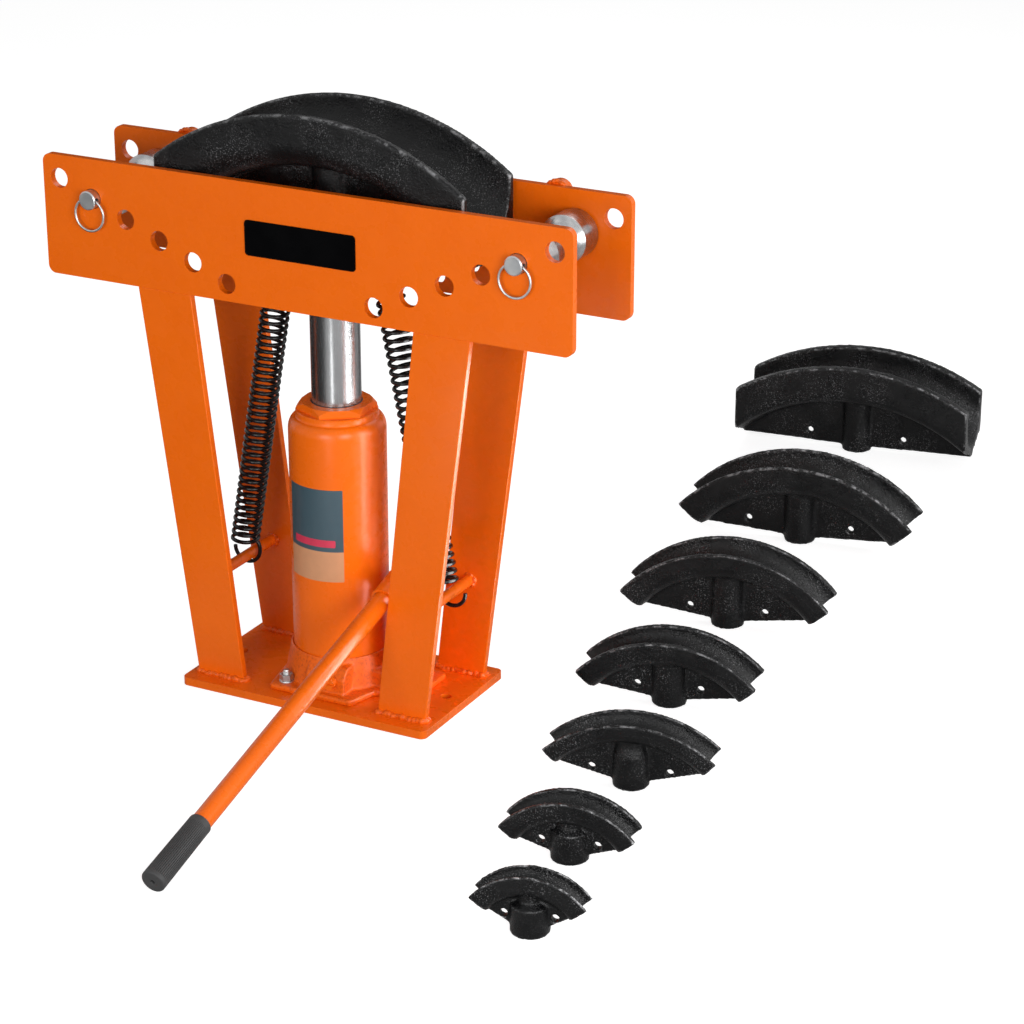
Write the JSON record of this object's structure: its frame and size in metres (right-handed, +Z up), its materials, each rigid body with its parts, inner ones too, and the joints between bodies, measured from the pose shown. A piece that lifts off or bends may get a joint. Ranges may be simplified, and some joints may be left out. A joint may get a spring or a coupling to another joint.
{
  "type": "hydraulic pipe bender",
  "caption": "Upright bottle-jack pipe bender: two drilled side plates on splayed legs, grooved rollers on pull pins, a ram that pushes a curved die up, and spare dies beside it.",
  "frame": {"origin": "centre of the base plate's underside, on the ram's axis", "axes": "+X along the side plates towards the pump, +Y away from the handle towards the plain side plate, +Z up"},
  "size_m": [0.7848, 1.484, 0.63],
  "materials": {
    "orange_paint": "glossy powder coat",
    "badge_black": "smooth black plate, bare",
    "zinc": "zinc-plated steel",
    "polished_steel": "hard polished ram",
    "cylinder_steel": "machined steel",
    "roller_steel": "turned steel",
    "spring_black": "black spring wire",
    "die_black": "black painted casting",
    "grip_black": "fluted black rubber",
    "seal_rubber": "black rubber"
  },
  "bodies": {
    "frame": {"base_plate": "orange_paint", "side_plate_front": "orange_paint", "side_plate_rear": "orange_paint", "leg_front_left": "orange_paint", "leg_front_right": "orange_paint", "leg_rear_left": "orange_paint", "leg_rear_right": "orange_paint", "spring_rod_left": "orange_paint", "spring_rod_right": "orange_paint", "rear_stubs": "orange_paint", "name_badge": "badge_black", "jack_base": "orange_paint", "jack_studs": "zinc", "jack_washers": "zinc", "jack_nuts": "zinc", "jack_body": "orange_paint", "filler_plug": "seal_rubber", "jack_cylinder": "cylinder_steel", "gland_nut": "orange_paint", "ram_seal": "seal_rubber", "pump_barrel": "orange_paint", "pump_nut": "orange_paint", "fulcrum_post": "orange_paint", "fulcrum_pin": "zinc"},
    "ram": {"ram": "polished_steel", "ram_piston": "cylinder_steel", "piston_seal": "seal_rubber", "spring_yoke": "orange_paint", "yoke_pins": "zinc", "spring_left": "spring_black", "spring_right": "spring_black"},
    "mounted_die": {"die_3_inch": "die_black"},
    "lever": {"pump_lever": "orange_paint", "plunger_pin": "zinc"},
    "plunger": {"pump_plunger": "cylinder_steel"},
    "handle": {"handle_tube": "orange_paint", "handle_grip": "grip_black"},
    "release_valve": {"release_valve": "orange_paint"},
    "roller_left": {"roller_left": "roller_steel"},
    "pin_left": {"roller_pin_left": "zinc"},
    "ring_left": {"pull_ring_left": "zinc"},
    "roller_right": {"roller_right": "roller_steel"},
    "pin_right": {"roller_pin_right": "zinc"},
    "ring_right": {"pull_ring_right": "zinc"},
    "loose_2_1_2_inch": {"die_2_1_2_inch": "die_black"},
    "loose_2_inch": {"die_2_inch": "die_black"},
    "loose_1_1_2_inch": {"die_1_1_2_inch": "die_black"},
    "loose_1_1_4_inch": {"die_1_1_4_inch": "die_black"},
    "loose_1_inch": {"die_1_inch": "die_black"},
    "loose_3_4_inch": {"die_3_4_inch": "die_black"},
    "loose_1_2_inch": {"die_1_2_inch": "die_black"}
  },
  "joints": [
    {"name": "ram_slide", "type": "slide", "parent": "frame", "child": "ram", "axis": [0, 0, 1], "range_m": [-0.12, 0.12], "deforming": ["spring_left", "spring_right"]},
    {"name": "mounted_die_lift", "type": "slide", "parent": "ram", "child": "mounted_die", "axis": [0, 0, 1], "range_m": [0, 0.03]},
    {"name": "lever_hinge", "type": "hinge", "parent": "frame", "child": "lever", "pos_m": [0.083, 0.028, 0.132], "axis": [-1, 0, 0], "range_deg": [0, 35]},
    {"name": "plunger_slide", "type": "slide", "parent": "frame", "child": "plunger", "axis": [0, 0, 1], "range_m": [-0.0005, 0.0205]},
    {"name": "handle_slide", "type": "slide", "parent": "lever", "child": "handle", "axis": [0, -0.9639, -0.2664], "range_m": [0, 0.03]},
    {"name": "valve_turn", "type": "hinge", "parent": "frame", "child": "release_valve", "pos_m": [0.024, -0.063, 0.03], "axis": [0, -1, 0], "range_deg": [0, 270]},
    {"name": "roller_left_spin", "type": "hinge", "parent": "frame", "child": "roller_left", "pos_m": [-0.2455, 0, 0.51698], "axis": [0, 1, 0], "continuous": true},
    {"name": "pin_left_pull", "type": "slide", "parent": "frame", "child": "pin_left", "axis": [0, -1, 0], "range_m": [0, 0.15]},
    {"name": "ring_left_hinge", "type": "hinge", "parent": "pin_left", "child": "ring_left", "pos_m": [-0.2455, -0.074, 0.5184], "axis": [-1, 0, 0], "range_deg": [-5, 90]},
    {"name": "roller_right_spin", "type": "hinge", "parent": "frame", "child": "roller_right", "pos_m": [0.2455, 0, 0.51698], "axis": [0, 1, 0], "continuous": true},
    {"name": "pin_right_pull", "type": "slide", "parent": "frame", "child": "pin_right", "axis": [0, -1, 0], "range_m": [0, 0.15]},
    {"name": "ring_right_hinge", "type": "hinge", "parent": "pin_right", "child": "ring_right", "pos_m": [0.2455, -0.074, 0.5184], "axis": [-1, 0, 0], "range_deg": [-5, 90]},
    {"name": "die_2_1_2_inch_lift", "type": "slide", "parent": "frame", "child": "loose_2_1_2_inch", "axis": [0, 0, 1], "range_m": [0, 0.05]},
    {"name": "die_2_inch_lift", "type": "slide", "parent": "frame", "child": "loose_2_inch", "axis": [0, 0, 1], "range_m": [0, 0.05]},
    {"name": "die_1_1_2_inch_lift", "type": "slide", "parent": "frame", "child": "loose_1_1_2_inch", "axis": [0, 0, 1], "range_m": [0, 0.05]},
    {"name": "die_1_1_4_inch_lift", "type": "slide", "parent": "frame", "child": "loose_1_1_4_inch", "axis": [0, 0, 1], "range_m": [0, 0.05]},
    {"name": "die_1_inch_lift", "type": "slide", "parent": "frame", "child": "loose_1_inch", "axis": [0, 0, 1], "range_m": [0, 0.05]},
    {"name": "die_3_4_inch_lift", "type": "slide", "parent": "frame", "child": "loose_3_4_inch", "axis": [0, 0, 1], "range_m": [0, 0.05]},
    {"name": "die_1_2_inch_lift", "type": "slide", "parent": "frame", "child": "loose_1_2_inch", "axis": [0, 0, 1], "range_m": [0, 0.05]}
  ],
  "couplings": [
    {"joint": "plunger_slide", "follows": "lever_hinge", "m_per_rad": 0.03249}
  ]
}
